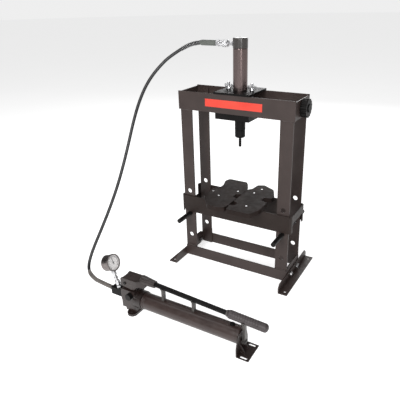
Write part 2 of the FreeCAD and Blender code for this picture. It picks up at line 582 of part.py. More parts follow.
handle_length = (handle_end - handle_start).Length
rod("handle_tube", (f"{handle_start.x}", "pump_y", f"{handle_start.z}"), "handle_radius",
    f"{handle_length - 4:.3f}", handle_turn)
direction = (handle_end - handle_start).normalize()
grip_start = handle_start + direction * (handle_length - 148)
grip_rod = rod("grip_rod", (f"{grip_start.x:.3f}", "pump_y", f"{grip_start.z:.3f}"), "grip_radius", "148", handle_turn)
grip_bore_start = grip_start - direction
grip_bore = rod("grip_bore", (f"{grip_bore_start.x:.3f}", "pump_y", f"{grip_bore_start.z:.3f}"), "handle_radius",
                "145", handle_turn)
grip_cut = cut("grip_cut", grip_rod, [grip_bore])
doc.recompute()
grip = doc.addObject("Part::Fillet", "handle_grip")
grip.Base = grip_cut
far_face = handle_end.x
grip.Edges = [(number, 9, 9) for number, edge in enumerate(grip_cut.Shape.Edges, start=1)
              if edge.BoundBox.Center.x > far_face - 2 and edge.BoundBox.ZLength > 20
              and edge.BoundBox.XLength < 5]

# Oil tank: a capped tube, its bright collar, the filler cap and the rear bracket with two slots.
tank_axis = ("tank_start", "pump_y", "tank_height")
tank_solid = rod("tank_solid", tank_axis, "tank_radius", "tank_end - tank_start", "X")
tank_space = rod("tank_space", ("tank_start + 5", "pump_y", "tank_height"), "tank_radius - 3",
                 "tank_end - tank_start - 10", "X")
filler_x = "(tank_end - 34)"
filler_hole = rod("filler_hole", (filler_x, "pump_y", "tank_height + 10"), "7", "30")
cut("oil_tank", tank_solid, [tank_space, filler_hole])
collar_solid = rod("collar_solid", ("tank_start + 0.5", "pump_y", "tank_height"), "tank_radius + 1.5", "9", "X")
collar_bore = rod("collar_bore", ("tank_start", "pump_y", "tank_height"), "tank_radius", "20", "X")
cut("tank_collar", collar_solid, [collar_bore])
filler_top = rod("filler_top", (filler_x, "pump_y", "tank_height + tank_radius + 0.5"), "9", "5")
filler_plug = rod("filler_plug", (filler_x, "pump_y", "tank_height + tank_radius - 9"), "7 - running_gap", "12")
join("filler_cap", [filler_top, filler_plug])

bracket_half = 44
tank_r, tank_z = size("tank_radius"), size("tank_height")
bracket_outline = [(-bracket_half, 0), (bracket_half, 0), (bracket_half, 34), (tank_r - 4, tank_z + 22),
                   (-tank_r + 4, tank_z + 22), (-bracket_half, 34)]
bracket_wall = pad("bracket_wall", "YZ", bracket_outline, "4", ("tank_end", "pump_y", "0"), {3: 16, 4: 16})
bracket_flat = box("bracket_flat", ("tank_end", "pump_y - 44", "0"), ("48", "88", "4"))
slots = []
for side in (-1, 1):
    y = f"pump_y + {side} * 35"
    slots.append(box(f"bracket_slot{side + 1}", ("tank_end + 17", f"{y} - 4.5", "-1"), ("18", "9", "6")))
    for number, reach in enumerate((17, 35)):
        slots.append(rod(f"bracket_slot{side + 1}_end{number}", (f"tank_end + {reach}", y, "-1"), "4.5", "6"))
ribs = []
for side in (-1, 1):
    rib = pad(f"bracket_rib{side + 1}", "XZ", [(0, 0), (20, 0), (0, 30)], "4",
              ("tank_end + 3.5", f"pump_y + 2 + {side} * 14", "3.5"))
    ribs.append(rib)
bracket = join("bracket_solid", [bracket_wall, bracket_flat] + ribs)
cut("pump_rear_bracket", bracket, slots)

# Clips that carry the resting handle: two forks on the tank and one on the rear bracket.
clips = []


def handle_height(x):
    """Height of the resting handle's axis at x."""
    return handle_start.z + (x - handle_start.x) * direction.z / direction.x


for number, x, hold, stand in ((0, -60, size("handle_radius"), tank_z + tank_r - 1.2),
                               (1, 72, size("handle_radius"), tank_z + tank_r - 1.2),
                               (2, 274, size("grip_radius"), 40)):
    width_x = 10
    height = handle_height(x)
    gap = hold + 0.6
    post = box(f"clip_post{number}", (f"{x} - {width_x / 2}", "pump_y - 7", f"{stand}"),
               (f"{width_x}", "14", f"{height - gap - stand + 0.5:.3f}"))
    cradle = rod(f"clip_cradle{number}", (f"{x} - {width_x / 2}", "pump_y", f"{height:.3f}"), f"{gap + 3:.2f}",
                 f"{width_x}", "X")
    hollow = rod(f"clip_hollow{number}", (f"{x} - {width_x}", "pump_y", f"{height:.3f}"), f"{gap:.2f}",
                 f"{2 * width_x}", "X")
    above = box(f"clip_above{number}", (f"{x} - {width_x}", "pump_y - 30", f"{height - 2:.3f}"),
                (f"{2 * width_x}", "60", "40"))
    solid = join(f"clip_solid{number}", [post, cradle])
    clips.append(cut(f"clip{number}", solid, [hollow, above]))
clips[2] = join("rear_clip_joined", [clips[2], box("rear_clip_base", ("tank_end + 4", "pump_y - 9", "36"),
                                                   ("16", "18", "10"))])
group("handle_clips", clips)

# Release valve: a short stem out of the head's front side with a knurled knob.
valve = ("-196", "pump_y - pump_head_width / 2 - 0.3", "88")
valve_disc = rod("valve_disc", valve, "13", "16", "-Y")
valve_stem = rod("valve_stem", ("-196", "pump_y - pump_head_width / 2 + 14", "88"), "5", "20", "-Y")
valve_solid = join("valve_solid", [valve_disc, valve_stem])
valve_grooves = []
for number in range(10):
    angle = 2 * math.pi * number / 10
    valve_grooves.append(rod(f"valve_groove{number}",
                             (f"-196 + {14 * math.cos(angle):.3f}", "pump_y - pump_head_width / 2",
                              f"88 + {14 * math.sin(angle):.3f}"), "2.5", "20", "-Y"))
cut("release_valve", valve_solid, valve_grooves)
valve_bore = rod("valve_bore", ("-196", "pump_y - pump_head_width / 2 + 15", "88"), "5 + running_gap", "30", "-Y")
cut("pump_head", pump_bored, [valve_bore])

# Gauge block between the head and the hose, with the gauge standing on it and facing the handle end.
block_solid = box("block_solid", ("-306", "pump_y - 15", "block_height - 16"), ("48", "30", "32"))
block_end = hexagon("block_end", ("-258.2", "pump_y", "block_height"), "26", "6.2", "X")
join("gauge_block", [block_solid, block_end])
lean = math.radians(size("gauge_lean"))
facing = V(math.cos(lean), 0, math.sin(lean))
rising = V(-math.sin(lean), 0, math.cos(lean))
FACING = FreeCAD.Rotation(V(0, 1, 0), 90 - size("gauge_lean"))
BACKWARD = FreeCAD.Rotation(V(0, 1, 0), 270 - size("gauge_lean"))
RISING = FreeCAD.Rotation(V(0, 1, 0), -size("gauge_lean"))
stem_foot = V(size("stem_foot"), size("pump_y"), size("block_height") + 16)
gauge_centre = stem_foot + rising * size("gauge_reach")
gauge_radius = size("gauge_radius")


def at(point):
    """A computed point as three expressions."""
    return tuple(f"{value:.4f}" for value in (point.x, point.y, point.z))


def on_gauge(ahead):
    """A point on the gauge's axis, that far in front of the stem's line."""
    return at(gauge_centre + facing * ahead)


front = size("gauge_front")
join("gauge_stem", [
    hexagon("stem_base", at(stem_foot - V(0, 0, 0.1)), "22", "12"),
    hexagon("stem_hex", at(stem_foot + rising * 14), "19", "16", RISING),
    rod("stem_tube", at(stem_foot + rising * 3), "7", f"{size('gauge_reach') - gauge_radius - 1}", RISING),
    hexagon("stem_nut", at(stem_foot + rising * (size("gauge_reach") - gauge_radius - 17)), "18", "14", RISING)])
case_solid = rod("case_solid", on_gauge(front), "gauge_radius - 2", "gauge_depth", BACKWARD)
case_rim = rod("case_rim", on_gauge(front), "gauge_radius", "8", BACKWARD)
case_space = rod("case_space", on_gauge(front + 1), "gauge_radius - 4", "gauge_depth - 2", BACKWARD)
cut("gauge_case", join("case_outer", [case_solid, case_rim]), [case_space])
dial_disc = rod("dial_disc", on_gauge(front - 6), "gauge_radius - 4", "1", BACKWARD)
cut("gauge_dial", dial_disc, [rod("dial_hole", on_gauge(front - 5), "1.6", "4", BACKWARD)])
needle_bar = box("needle_bar", at(gauge_centre + facing * (front - 4.6) - rising * 7 - V(0, 0.9, 0)), ("0.8", "1.8", "30"))
needle_bar.Placement.Rotation = RISING
join("gauge_needle", [
    rod("needle_shaft", on_gauge(front - 3.5), "1.5", "8", BACKWARD),
    needle_bar,
    rod("needle_hub", on_gauge(front - 4.8), "3.2", "1.3", FACING)])

NODES = """
upright_front_left upright_front_right upright_rear_left upright_rear_right
head_front_plate head_rear_plate head_left_plate head_right_plate end_knob
base_front_rail base_rear_rail side_plate_left side_plate_right foot_angle_left foot_angle_right foot_bolts
bed_front_plate bed_rear_plate bed_left_end bed_right_end support_pin_left support_pin_right
arbor_plate_left arbor_plate_right
carriage_top_plate carriage_bottom_plate clamp_studs wing_nut_left wing_nut_right
cylinder_barrel cylinder_cap cylinder_gland ram_plunger ram_head ram_tip return_spring
port_nipple coupler_body coupler_ring hose_ferrule_top hose_guard_top hose hose_sleeve_bottom
pump_head pump_plunger lever_pivot_pin pump_lever handle_tube handle_grip release_valve
oil_tank tank_collar filler_cap pump_rear_bracket handle_clips
gauge_block gauge_stem gauge_case gauge_dial gauge_needle
""".split()

doc.recompute()
broken = [obj.Name for obj in doc.Objects if "Invalid" in obj.State or "Error" in obj.State]
if broken:
    raise RuntimeError(f"objects that failed to build: {broken}")
for node in NODES:
    obj = doc.getObject(node)
    if obj.Shape.isNull() or not obj.Shape.isValid():
        raise RuntimeError(f"{node} has no valid shape")
    obj.Shape.exportStep(f"parts/{node}.step")
print(len(NODES), "nodes written")
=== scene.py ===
import bmesh
import bpy
import json
import math
from mathutils import Matrix, Vector, noise

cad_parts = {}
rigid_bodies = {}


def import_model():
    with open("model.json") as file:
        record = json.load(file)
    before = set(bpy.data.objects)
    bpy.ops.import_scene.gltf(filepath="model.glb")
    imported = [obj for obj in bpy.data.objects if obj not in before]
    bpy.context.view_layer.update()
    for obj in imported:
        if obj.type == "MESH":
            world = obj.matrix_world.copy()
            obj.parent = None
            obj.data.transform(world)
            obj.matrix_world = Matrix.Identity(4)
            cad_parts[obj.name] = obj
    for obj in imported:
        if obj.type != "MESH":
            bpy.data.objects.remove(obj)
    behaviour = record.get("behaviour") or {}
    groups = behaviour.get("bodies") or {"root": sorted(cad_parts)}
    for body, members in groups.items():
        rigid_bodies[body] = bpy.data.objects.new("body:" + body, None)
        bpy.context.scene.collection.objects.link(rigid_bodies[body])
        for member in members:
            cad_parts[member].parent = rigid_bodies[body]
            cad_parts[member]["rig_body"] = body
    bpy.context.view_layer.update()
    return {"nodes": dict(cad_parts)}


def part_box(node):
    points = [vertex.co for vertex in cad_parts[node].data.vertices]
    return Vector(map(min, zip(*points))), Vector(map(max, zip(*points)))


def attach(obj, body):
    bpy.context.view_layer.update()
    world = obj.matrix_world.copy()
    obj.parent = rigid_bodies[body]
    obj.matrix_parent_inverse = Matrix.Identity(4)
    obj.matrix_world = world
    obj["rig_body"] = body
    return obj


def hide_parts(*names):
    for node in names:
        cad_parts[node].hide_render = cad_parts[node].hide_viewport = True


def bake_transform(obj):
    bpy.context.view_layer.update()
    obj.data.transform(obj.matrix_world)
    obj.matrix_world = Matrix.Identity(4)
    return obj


# Bench hydraulic press with a remote hand pump: materials, detailed pieces, hose, light and camera.
# Metres, in the frame of the CAD: +Z up, -Y to the operator.

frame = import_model()
NODES = frame["nodes"]
MM = 0.001
X, Y, Z = Vector((1, 0, 0)), Vector((0, 1, 0)), Vector((0, 0, 1))


# ---------------------------------------------------------------- materials

RAMP_START, RAMP_FINISH = 0.35, 0.65


def ramp(tree, source, low, high):
    """A colour ramp between two colours across the middle of a value's range."""
    node = tree.nodes.new("ShaderNodeValToRGB")
    node.color_ramp.elements[0].position = RAMP_START
    node.color_ramp.elements[0].color = (*low, 1)
    node.color_ramp.elements[1].position = RAMP_FINISH
    node.color_ramp.elements[1].color = (*high, 1)
    tree.links.new(source, node.inputs["Fac"])
    return node.outputs["Color"]


def noise_value(tree, scale, detail):
    """Noise in the object's own metres."""
    coords = tree.nodes.new("ShaderNodeTexCoord")
    texture = tree.nodes.new("ShaderNodeTexNoise")
    texture.inputs["Scale"].default_value = scale
    texture.inputs["Detail"].default_value = detail
    tree.links.new(coords.outputs["Object"], texture.inputs["Vector"])
    return texture.outputs["Fac"]


def remap(tree, source, low, high, start=0.3, finish=0.7):
    """A value moved from one range to another."""
    node = tree.nodes.new("ShaderNodeMapRange")
    node.inputs["From Min"].default_value = start
    node.inputs["From Max"].default_value = finish
    node.inputs["To Min"].default_value = low
    node.inputs["To Max"].default_value = high
    tree.links.new(source, node.inputs["Value"])
    return node.outputs["Result"]


def surface(name, color, tint, roughness, metallic=0.0, patch=14, grain=900, bump=0.12, bump_size=0.0004,
            wear_and_highlight=0.0, bare_and_highlight=(0.32, 0.30, 0.28), coat=0.0, specular=0.5):
    """A finish with patchy colour, uneven gloss, a fine bump and, where asked, paint worn off the edges in a
    lighter bare colour that also paints highlights along them.
    """
    material = bpy.data.materials.new(name)
    material.use_nodes = True
    tree = material.node_tree
    shader = tree.nodes["Principled BSDF"]
    shader.inputs["Metallic"].default_value = metallic
    shader.inputs["Coat Weight"].default_value = coat
    shader.inputs["Coat Roughness"].default_value = 0.12
    shader.inputs["Specular IOR Level"].default_value = specular
    paint = ramp(tree, noise_value(tree, patch, 6), color, tint)
    gloss = remap(tree, noise_value(tree, patch * 4, 5), roughness[0], roughness[1])
    # Worn edges: bevel faces marked "edge" take a lighter bare colour in noisy patches. This is partly real
    # worn paint and partly a painted highlight along the edges.
    if wear_and_highlight:
        edge = tree.nodes.new("ShaderNodeAttribute")
        edge.attribute_name = "edge"
        scuff_and_highlight = remap(tree, noise_value(tree, 90, 6), 0, wear_and_highlight, 0.50, 0.66)
        worn_and_highlit = tree.nodes.new("ShaderNodeMath")
        worn_and_highlit.operation = "MULTIPLY"
        tree.links.new(edge.outputs["Fac"], worn_and_highlit.inputs[0])
        tree.links.new(scuff_and_highlight, worn_and_highlit.inputs[1])
        blend = tree.nodes.new("ShaderNodeMix")
        blend.data_type = "RGBA"
        blend.inputs["B"].default_value = (*bare_and_highlight, 1)
        tree.links.new(worn_and_highlit.outputs["Value"], blend.inputs["Factor"])
        tree.links.new(paint, blend.inputs["A"])
        paint = blend.outputs["Result"]
    tree.links.new(paint, shader.inputs["Base Color"])
    tree.links.new(gloss, shader.inputs["Roughness"])
    relief = tree.nodes.new("ShaderNodeBump")
    relief.inputs["Strength"].default_value = bump
    relief.inputs["Distance"].default_value = bump_size
    tree.links.new(noise_value(tree, grain, 3), relief.inputs["Height"])
    tree.links.new(relief.outputs["Normal"], shader.inputs["Normal"])
    return material


def glass(name):
    material = bpy.data.materials.new(name)
    material.use_nodes = True
    shader = material.node_tree.nodes["Principled BSDF"]
    shader.inputs["Base Color"].default_value = (0.95, 0.97, 0.97, 1)
    shader.inputs["Roughness"].default_value = 0.04
    shader.inputs["Alpha"].default_value = 0.08
    return material


# Materials given edge wear get lighter bare edges: worn paint that also serves as a painted edge highlight.
FRAME_PAINT = surface("frame_paint", (0.034, 0.023, 0.0205), (0.042, 0.029, 0.026), (0.38, 0.52), bump=0.10,
                      grain=700, wear_and_highlight=0.6, bare_and_highlight=(0.12, 0.10, 0.09), specular=0.32)
BED_PAINT = surface("bed_paint", (0.019, 0.0125, 0.0105), (0.025, 0.0170, 0.0145), (0.42, 0.56), bump=0.12,
                    grain=700, wear_and_highlight=0.6, bare_and_highlight=(0.09, 0.075, 0.065), specular=0.2)
ARBOR_PAINT = surface("arbor_paint", (0.0135, 0.0085, 0.0072), (0.021, 0.0135, 0.0115), (0.5, 0.66),
                      bump=0.25, grain=380, bump_size=0.0006, wear_and_highlight=0.6, bare_and_highlight=(0.10, 0.08, 0.07),
                      specular=0.14)
BLACK_PAINT = surface("black_paint", (0.0025, 0.0022, 0.0022), (0.0055, 0.0048, 0.0048), (0.34, 0.50),
                      wear_and_highlight=0.6, bare_and_highlight=(0.07, 0.06, 0.06), specular=0.12)
CAP_PAINT = surface("cap_paint", (0.028, 0.0245, 0.022), (0.036, 0.032, 0.029), (0.26, 0.38), bump=0.06,
                    grain=500, coat=0.3)
BLACK_STEEL = surface("black_steel", (0.0030, 0.0028, 0.0028), (0.0060, 0.0055, 0.0055), (0.34, 0.48),
                      wear_and_highlight=0.5, bare_and_highlight=(0.06, 0.055, 0.05), specular=0.22)
BARREL_PAINT = surface("barrel_paint", (0.150, 0.114, 0.110), (0.162, 0.125, 0.121), (0.20, 0.26),
                       metallic=0.9, bump=0.015, grain=300, patch=8)
TANK_PAINT = surface("tank_paint", (0.029, 0.0175, 0.0155), (0.041, 0.0255, 0.0225), (0.30, 0.44), bump=0.10,
                     grain=450, coat=0.15, wear_and_highlight=0.5, specular=0.4)
CAST_PAINT = surface("cast_paint", (0.0150, 0.0092, 0.0080), (0.0270, 0.0170, 0.0150), (0.24, 0.40),
                     bump=0.75, grain=330, bump_size=0.0010, wear_and_highlight=0.5, bare_and_highlight=(0.16, 0.13, 0.12))
BRIGHT_STEEL = surface("bright_steel", (0.52, 0.52, 0.53), (0.66, 0.66, 0.67), (0.20, 0.36), metallic=1.0,
                       patch=60, grain=1400, bump=0.06)
GAUGE_STEEL = surface("gauge_steel", (0.15, 0.13, 0.128), (0.22, 0.195, 0.19), (0.20, 0.32), metallic=1.0,
                      patch=50, grain=1200, bump=0.05)
CLIP_STEEL = surface("clip_steel", (0.050, 0.046, 0.044), (0.085, 0.078, 0.074), (0.34, 0.48), metallic=0.5,
                     patch=60)
DARK_WASHER = surface("dark_washer", (0.04, 0.037, 0.035), (0.07, 0.066, 0.062), (0.35, 0.5), metallic=0.5)
CHROME_ROD = surface("chrome_rod", (0.70, 0.70, 0.71), (0.76, 0.76, 0.77), (0.06, 0.12), metallic=1.0,
                     patch=30, grain=1500, bump=0.02)
SPRING_STEEL = surface("spring_steel", (0.22, 0.22, 0.225), (0.36, 0.36, 0.365), (0.25, 0.4), metallic=1.0,
                       patch=80)
HOSE_RUBBER = surface("hose_rubber", (0.007, 0.007, 0.008), (0.012, 0.012, 0.013), (0.32, 0.46), patch=30,
                      grain=1600, bump=0.2)
FERRULE_SLEEVE = surface("ferrule_sleeve", (0.070, 0.078, 0.070), (0.108, 0.118, 0.106), (0.45, 0.6),
                         patch=60, grain=900, bump=0.25)
LOWER_SLEEVE = surface("lower_sleeve", (0.075, 0.066, 0.060), (0.125, 0.112, 0.103), (0.5, 0.65), patch=60,
                       grain=900, bump=0.25)
GRIP_PLASTIC = surface("grip_plastic", (0.036, 0.028, 0.029), (0.047, 0.038, 0.039), (0.42, 0.55), patch=40,
                       grain=1200, bump=0.25)
DIAL_WHITE = surface("dial_white", (0.84, 0.81, 0.80), (0.88, 0.85, 0.84), (0.5, 0.6), patch=30, bump=0.02)
INK = surface("ink", (0.010, 0.010, 0.011), (0.016, 0.015, 0.016), (0.5, 0.6), bump=0.02)
RED_ENAMEL = surface("red_enamel", (0.62, 0.035, 0.018), (0.70, 0.050, 0.026), (0.34, 0.46), bump=0.05)
WELD_METAL = surface("weld_metal", (0.045, 0.034, 0.031), (0.060, 0.046, 0.042), (0.34, 0.5), bump=0.4,
                     grain=600)
GAUGE_GLASS = glass("gauge_glass")


# ---------------------------------------------------------------- making pieces

def piece(name, bm, material, body, nodes=(), sharp=32):
    """An object of the press from a bmesh: smooth except at its sharp edges, riding on a body."""
    bmesh.ops.recalc_face_normals(bm, faces=bm.faces)
    mesh = bpy.data.meshes.new(name)
    bm.to_mesh(mesh)
    bm.free()
    mesh.materials.append(material)
    mesh.polygons.foreach_set("use_smooth", [True] * len(mesh.polygons))
    mesh.set_sharp_from_angle(angle=math.radians(sharp))
    obj = bpy.data.objects.new(name, mesh)
    bpy.context.scene.collection.objects.link(obj)
    weighted = obj.modifiers.new("Normals", "WEIGHTED_NORMAL")
    weighted.keep_sharp = True
    if body:
        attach(obj, body)
    if nodes:
        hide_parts(*nodes)
    return obj


def refined(node, material, bevel=0.7, corner=28):
    """A CAD node's own shape with its edges eased by a bevel in millimetres."""
    bm = bmesh.new()
    bm.from_mesh(NODES[node].data)
    bmesh.ops.remove_doubles(bm, verts=bm.verts, dist=1e-5)
    bmesh.ops.dissolve_limit(bm, angle_limit=math.radians(0.4), verts=bm.verts, edges=bm.edges)
    edges = [e for e in bm.edges if len(e.link_faces) == 2 and e.calc_face_angle(0) > math.radians(corner)]
    rounded = bmesh.ops.bevel(bm, geom=edges, offset=bevel * MM, offset_type="OFFSET", segments=2,
                              profile=0.6, affect="EDGES", clamp_overlap=True)
    # The bevel faces are marked for the edge wear, whose lighter bare colour also paints highlights along the
    # edges.
    mark = bm.faces.layers.float.new("edge")
    for face in rounded["faces"]:
        if face.is_valid:
            face[mark] = 1.0
    return piece(f"{node}_finish", bm, material, NODES[node]["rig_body"], (node,))


def frame_along(direction):
    """Two unit vectors across a direction."""
    across = Z.cross(direction) if abs(direction.dot(Z)) < 0.9 else X.copy()
    across = (across - direction * across.dot(direction)).normalized()
    return across, direction.cross(across)


def eased(profile, radius):
    """A profile's corners replaced by short arcs of up to the given radius in millimetres."""
    points = [Vector((a, b)) for a, b in profile]
    result = [points[0]]
    for before, here, after in zip(points, points[1:], points[2:]):
        back, ahead = before - here, after - here
        reach = min(radius, back.length * 0.4, ahead.length * 0.4)
        first = here + back.normalized() * reach
        last = here + ahead.normalized() * reach
        for step in (0, 0.33, 0.67, 1):
            result.append(first.lerp(here, step).lerp(here.lerp(last, step), step))
    result.append(points[-1])
    return [(point.x, point.y) for point in result]


def turned(profile, start, direction, segments=72, ripple=None):
    """A solid of revolution from (along, radius) in millimetres; ripple(along, angle) changes the radius."""
    bm = bmesh.new()
    across, over = frame_along(direction)
    rings = []
    for along, radius in profile:
        ring = []
        for step in range(segments):
            angle = 2 * math.pi * step / segments
            reach = radius + (ripple(along, angle) if ripple and radius > 0.01 else 0)
            point = start + direction * (along * MM)
            spoke = across * math.cos(angle) + over * math.sin(angle)
            ring.append(bm.verts.new(point + spoke * (reach * MM)))
        rings.append(ring)
    for first, second in zip(rings, rings[1:]):
        for step in range(segments):
            after = (step + 1) % segments
            bm.faces.new((first[step], first[after], second[after], second[step]))
    bmesh.ops.remove_doubles(bm, verts=bm.verts, dist=1e-7)
    return bm


def tube_mesh(points, radius, segments):
    """A closed tube along a line of points; radius in metres, or a function of the share of the way."""
    bm = bmesh.new()
    rings = []
    across = None
    for number, point in enumerate(points):
        before = points[max(number - 1, 0)]
        after = points[min(number + 1, len(points) - 1)]
        heading = (after - before).normalized()
        if across is None:
            across, _ = frame_along(heading)
        across = (across - heading * across.dot(heading)).normalized()
        over = heading.cross(across)
        reach = radius(number / (len(points) - 1)) if callable(radius) else radius
        ring = []
        for step in range(segments):
            angle = 2 * math.pi * step / segments
            ring.append(bm.verts.new(point + (across * math.cos(angle) + over * math.sin(angle)) * reach))
        rings.append(ring)
    for first, second in zip(rings, rings[1:]):
        for step in range(segments):
            after = (step + 1) % segments
            bm.faces.new((first[step], first[after], second[after], second[step]))
    bm.faces.new(rings[0])
    bm.faces.new(rings[-1])
    return bm


def joined(*parts):
    """Several bmeshes as one."""
    whole = bmesh.new()
    for part in parts:
        mesh = bpy.data.meshes.new("part")
        part.to_mesh(mesh)
        part.free()
        whole.from_mesh(mesh)
        bpy.data.meshes.remove(mesh)
    return whole


def hexagon(across_flats, height, start, direction, twist=0.0):
    """A chamfered hexagonal head or nut; sizes in millimetres."""
    corner = across_flats / math.sqrt(3)
    chamfer = corner - across_flats / 2

    def flats(along, angle):
        sector = (angle + twist + math.pi / 6) % (math.pi / 3) - math.pi / 6
        limit = across_flats / 2 / math.cos(sector)
        edge = min(along, height - along)
        cone = across_flats / 2 + 0.2 + max(edge, 0) * 1.8
        return min(limit, cone) - corner

    profile = [(0, 0), (0, corner), (chamfer * 0.5, corner), (chamfer, corner), (height - chamfer, corner),
               (height - chamfer * 0.5, corner), (height, corner), (height, 0)]
    return turned(profile, start, direction, 72, flats)


def box_mesh(low, high, bevel):
    """A box with eased edges; bevel in millimetres."""
    bm = bmesh.new()
    bmesh.ops.create_cube(bm, size=1)
    size = high - low
    bmesh.ops.scale(bm, vec=size, verts=bm.verts)
    bmesh.ops.translate(bm, vec=(low + high) / 2, verts=bm.verts)
    bmesh.ops.bevel(bm, geom=bm.edges, offset=bevel * MM, segments=2, profile=0.6, affect="EDGES",
                    clamp_overlap=True)
    return bm


def centre(node):
    low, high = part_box(node)
    return (low + high) / 2


# ---------------------------------------------------------------- hose and its fittings

GUARD_ROUTE = [(-0.188, 0, 0.965), (-0.214, 0, 0.9615), (-0.243, -0.0035, 0.954), (-0.272, -0.013, 0.938)]
HOSE_ROUTE = [
    (-0.2728, -0.0133, 0.9375), (-0.320, -0.033, 0.908), (-0.355, -0.060, 0.869), (-0.380, -0.089, 0.829),
    (-0.397, -0.120, 0.783), (-0.407, -0.153, 0.727), (-0.411, -0.190, 0.661), (-0.413, -0.231, 0.577),
    (-0.418, -0.270, 0.494), (-0.427, -0.311, 0.408), (-0.442, -0.357, 0.319), (-0.458, -0.402, 0.240),
    (-0.469, -0.440, 0.181), (-0.473, -0.470, 0.137), (-0.464, -0.499, 0.103), (-0.434, -0.519, 0.083),
    (-0.396, -0.525, 0.077),
]
SLEEVE_ROUTE = [(-0.396, -0.525, 0.077), (-0.350, -0.5255, 0.0715), (-0.306, -0.525, 0.068)]
HOSE_DIAMETER = 0.013


def line_along(route, steps=12):
    """Points of the smooth line that a route's points control."""
    curve = bpy.data.curves.new("route", "CURVE")
    curve.dimensions = "3D"
    curve.resolution_u = steps
    spline = curve.splines.new("NURBS")
    spline.points.add(len(route) - 1)
    for point, place in zip(spline.points, route):
        point.co = (*place, 1)
    spline.order_u = 3
    spline.use_endpoint_u = True
    holder = bpy.data.objects.new("route", curve)
    bpy.context.scene.collection.objects.link(holder)
    bpy.context.view_layer.update()
    mesh = bpy.data.meshes.new_from_object(holder)
    points = [vertex.co.copy() for vertex in mesh.vertices]
    bpy.data.objects.remove(holder)
    bpy.data.curves.remove(curve)
    bpy.data.meshes.remove(mesh)
    return points


def length_of(points):
    return sum((b - a).length for a, b in zip(points, points[1:]))


def helix_along(points, radius, pitch, steps=14):
    """Points of a coil wound round a line."""
    total = length_of(points)
    turns = int(total / pitch)
    result = []
    across, _ = frame_along((points[1] - points[0]).normalized())
    travelled, segment = 0.0, 0
    for number in range(turns * steps + 1):
        target = total * number / (turns * steps)
        while segment < len(points) - 2:
            span = (points[segment + 1] - points[segment]).length
            if travelled + span >= target:
                break
            travelled += span
            segment += 1
        heading = (points[segment + 1] - points[segment]).normalized()
        across = (across - heading * across.dot(heading)).normalized()
        angle = 2 * math.pi * number / steps
        middle = points[segment] + heading * (target - travelled)
        result.append(middle + (across * math.cos(angle) + heading.cross(across) * math.sin(angle)) * radius)
    return result


def make_hose():
    line = line_along(HOSE_ROUTE, 14)
    hose = piece("hose_line", tube_mesh(line, HOSE_DIAMETER / 2, 28), HOSE_RUBBER, None, ("hose",),
                 sharp=60)
    covered = length_of(line)
    upper = []
    for before, here in zip(line, line[1:]):
        covered -= (here - before).length
        if covered < 0.062:
            upper.append(here)
    sleeve_line = upper + line_along(SLEEVE_ROUTE, 40)[1:]

    def sleeve_radius(share):
        if share < 0.05:
            return 0.0068 + 0.0014 * share / 0.05
        ridge = 0.0002 if int(share * 70) % 2 else 0
        return 0.0085 if share > 0.88 else 0.0082 + ridge

    sleeve = piece("hose_sleeve", tube_mesh(sleeve_line, sleeve_radius, 32), LOWER_SLEEVE, "frame",
                   ("hose_sleeve_bottom",), sharp=60)
    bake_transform(hose)

    guard_line = line_along(GUARD_ROUTE, 24)
    coil = tube_mesh(helix_along(guard_line, 0.0082, 0.0066, 18), 0.0013, 8)
    piece("guard_coil", coil, SPRING_STEEL, "carriage", ("hose_guard_top",), sharp=60)
    piece("guard_hose", tube_mesh(guard_line, HOSE_DIAMETER / 2, 28), HOSE_RUBBER, "carriage", (),
          sharp=60)


def make_couplers():
    low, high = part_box("coupler_body")
    port = Vector((high.x, (low.y + high.y) / 2, (low.z + high.z) / 2))
    body_profile = [(0, 0), (0, 9), (1.5, 10.5), (39, 10.5), (39.5, 10.5), (54, 10.5), (54, 0)]
    body = joined(turned(eased(body_profile, 0.6), port, -X),
                  hexagon(25, 14, port - X * 40 * MM, -X))
    piece("coupler_turned", body, BRIGHT_STEEL, "carriage", ("coupler_body",))

    def knurl(along, angle):
        if not 3 < along < 23:
            return 0
        return 0.35 * max(math.sin(36 * angle + along * 1.9), math.sin(36 * angle - along * 1.9)) - 0.35

    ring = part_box("coupler_ring")[1].x
    outline = [(0, 10.56), (0, 12.6), (1.4, 14), (2.8, 14)]
    outline += [(3 + step * 0.5, 14) for step in range(41)]
    outline += [(23.2, 14), (24.6, 14), (26, 12.6), (26, 10.56), (0, 10.56)]
    piece("coupler_knurled_ring", turned(outline, Vector((ring, port.y, port.z)), -X, 216, knurl),
          BRIGHT_STEEL, "coupler", ("coupler_ring",))

    low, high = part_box("port_nipple")
    thread = [(0, 0), (0, 5.4)]
    length = (high.x - low.x) / MM
    turns = int((length - 1) / 1.4)
    for step in range(turns):
        thread += [(step * 1.4 + 0.3, 5.2), (step * 1.4 + 0.8, 6.0), (step * 1.4 + 1.2, 6.0)]
    thread += [(length, 5.4), (length, 0)]
    nipple = joined(turned(thread, Vector((high.x, 0, port.z)), -X, 48),
                    hexagon(17, 9, Vector((high.x - 0.0046, 0, port.z)), -X))
    piece("nipple_turned", nipple, BRIGHT_STEEL, "carriage", ("port_nipple",))

    low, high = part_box("hose_ferrule_top")
    length = (high.x - low.x) / MM
    outline = [(0, 0), (0, 9.5), (4, 9.5), (4.2, 11)]
    outline += [(4.2 + step * 1.1, 11 if step % 4 else 10.55) for step in range(1, 50)]
    outline += [(length - 7, 11), (length - 5, 9.6), (length, 8.9), (length, 0)]
    piece("ferrule_sleeve", turned(eased(outline, 0.3), Vector((high.x, 0, port.z)), -X), FERRULE_SLEEVE,
          "carriage", ("hose_ferrule_top",))


# ---------------------------------------------------------------- press frame

